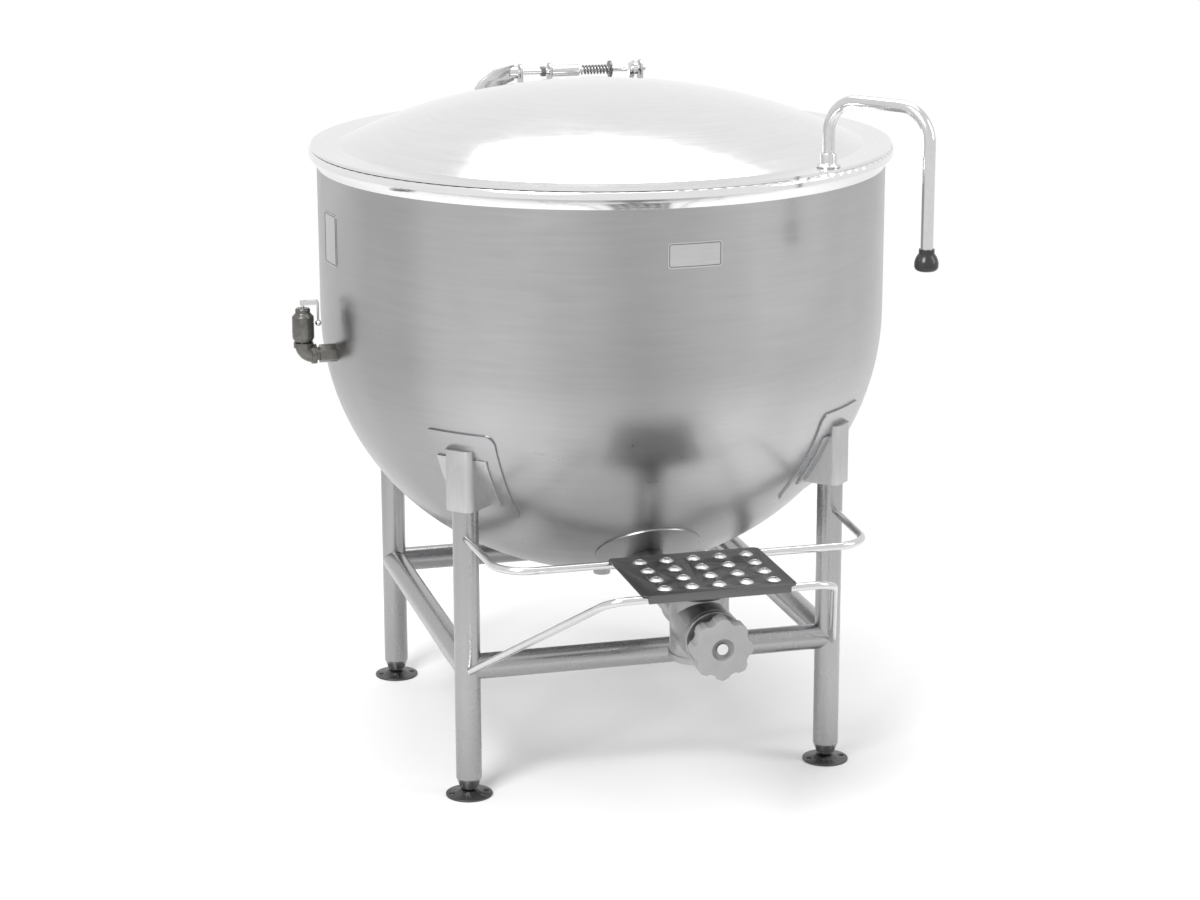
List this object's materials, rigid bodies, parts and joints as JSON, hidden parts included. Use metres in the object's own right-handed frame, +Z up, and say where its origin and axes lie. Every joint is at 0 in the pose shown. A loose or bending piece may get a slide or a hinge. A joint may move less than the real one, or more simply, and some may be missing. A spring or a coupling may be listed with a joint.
{
  "type": "steam jacketed kettle",
  "caption": "Floor-standing steam jacketed kettle with hinged dome lid, tube stand, tangent draw-off valve, drip tray and relief valve.",
  "frame": {"origin": "on the floor under the kettle's upright axis, midway between the four feet", "axes": "+Z up, front with the draw-off valve towards -Y, lid hinge towards +Y, +X to the right"},
  "size_m": [1.005, 1.2235, 1.1155],
  "materials": {
    "satin_shell": "satin brushed stainless steel",
    "kettle_inside": "ground and polished stainless steel",
    "polished_rim": "polished stainless steel",
    "leg_tube": "satin stainless tube",
    "foot_metal": "dark satin steel",
    "bright_rod": "polished stainless steel",
    "tray_sheet": "punched stainless sheet",
    "plate": "satin plate, bare",
    "cast_valve": "cast and machined stainless steel",
    "grey_knob": "moulded phenolic, light grey",
    "black_knob": "moulded phenolic, black",
    "seal_rubber": "moulded seal",
    "bronze": "cast bronze, darkened",
    "spring_steel": "spring steel"
  },
  "bodies": {
    "kettle": {"adjusting_nut": "spring_steel", "assist_spring": "spring_steel", "condensate_outlet": "satin_shell", "cross_bar_front": "leg_tube", "cross_bar_left": "leg_tube", "cross_bar_rear": "leg_tube", "cross_bar_right": "leg_tube", "data_plate": "plate", "draw_off_collar": "satin_shell", "draw_off_tube": "satin_shell", "drip_tray": "tray_sheet", "foot_sockets": "leg_tube", "gland_nut": "cast_valve", "gland_packing": "seal_rubber", "hinge_bracket": "satin_shell", "hinge_shaft": "bright_rod", "inner_kettle": "kettle_inside", "leg_bracket_front_left": "satin_shell", "leg_bracket_front_right": "satin_shell", "leg_bracket_rear_left": "satin_shell", "leg_bracket_rear_right": "satin_shell", "leg_front_left": "leg_tube", "leg_front_right": "leg_tube", "leg_pads": "satin_shell", "leg_rear_left": "leg_tube", "leg_rear_right": "leg_tube", "nameplate": "plate", "outer_jacket": "satin_shell", "relief_body": "bronze", "relief_cap": "bronze", "relief_coupling": "bronze", "relief_elbow": "bronze", "relief_nipple": "bronze", "relief_spring": "spring_steel", "rim_ring": "polished_rim", "shaft_sleeve": "bright_rod", "spring_collar": "spring_steel", "steam_inlet": "satin_shell", "tray_rod_front": "bright_rod", "tray_rod_rear": "bright_rod", "valve_body": "cast_valve", "valve_bonnet": "cast_valve"},
    "lid": {"lid_cover": "polished_rim", "lid_handle": "bright_rod", "handle_base": "bright_rod", "handle_knob": "black_knob", "lid_arm_left": "bright_rod", "lid_arm_right": "bright_rod"},
    "draw_off_plug_body": {"draw_off_plug": "cast_valve", "plug_seal": "seal_rubber"},
    "draw_off_wheel": {"valve_stem": "bright_rod", "valve_knob": "grey_knob", "knob_screw": "bright_rod"},
    "relief_disc_body": {"relief_disc": "bright_rod"},
    "relief_lever_body": {"relief_lever": "bright_rod", "lever_pin": "bright_rod"},
    "foot_front_left_body": {"foot_front_left": "foot_metal"},
    "foot_front_right_body": {"foot_front_right": "foot_metal"},
    "foot_rear_left_body": {"foot_rear_left": "foot_metal"},
    "foot_rear_right_body": {"foot_rear_right": "foot_metal"}
  },
  "joints": [
    {"name": "lid_hinge", "type": "hinge", "parent": "kettle", "child": "lid", "pos_m": [0, 0.5, 1.046], "axis": [-1, 0, 0], "range_deg": [0, 80]},
    {"name": "draw_off_lift", "type": "slide", "parent": "kettle", "child": "draw_off_plug_body", "axis": [0, -0.9996, -0.0279], "range_m": [0, 0.02]},
    {"name": "draw_off_turn", "type": "hinge", "parent": "draw_off_plug_body", "child": "draw_off_wheel", "pos_m": [0, -0.68273, 0.34533], "axis": [0, -0.9996, -0.0279], "range_deg": [0, 450]},
    {"name": "relief_lift", "type": "slide", "parent": "kettle", "child": "relief_disc_body", "axis": [0, 0, 1], "range_m": [0, 0.003], "deforming": ["relief_spring"]},
    {"name": "relief_lever_turn", "type": "hinge", "parent": "relief_disc_body", "child": "relief_lever_body", "pos_m": [-0.51, -0.06, 0.76725], "axis": [0, -1, 0], "range_deg": [0, 25], "stiffness_Nm_per_rad": 0.07},
    {"name": "foot_front_left_screw", "type": "slide", "parent": "kettle", "child": "foot_front_left_body", "axis": [0, 0, -1], "range_m": [0, 0.025]},
    {"name": "foot_front_right_screw", "type": "slide", "parent": "kettle", "child": "foot_front_right_body", "axis": [0, 0, -1], "range_m": [0, 0.025]},
    {"name": "foot_rear_left_screw", "type": "slide", "parent": "kettle", "child": "foot_rear_left_body", "axis": [0, 0, -1], "range_m": [0, 0.025]},
    {"name": "foot_rear_right_screw", "type": "slide", "parent": "kettle", "child": "foot_rear_right_body", "axis": [0, 0, -1], "range_m": [0, 0.025]}
  ],
  "couplings": [
    {"joint": "draw_off_lift", "follows": "draw_off_turn", "m_per_rad": 0.0025465},
    {"joint": "relief_lift", "follows": "relief_lever_turn", "m_per_rad": 0.0068755}
  ]
}
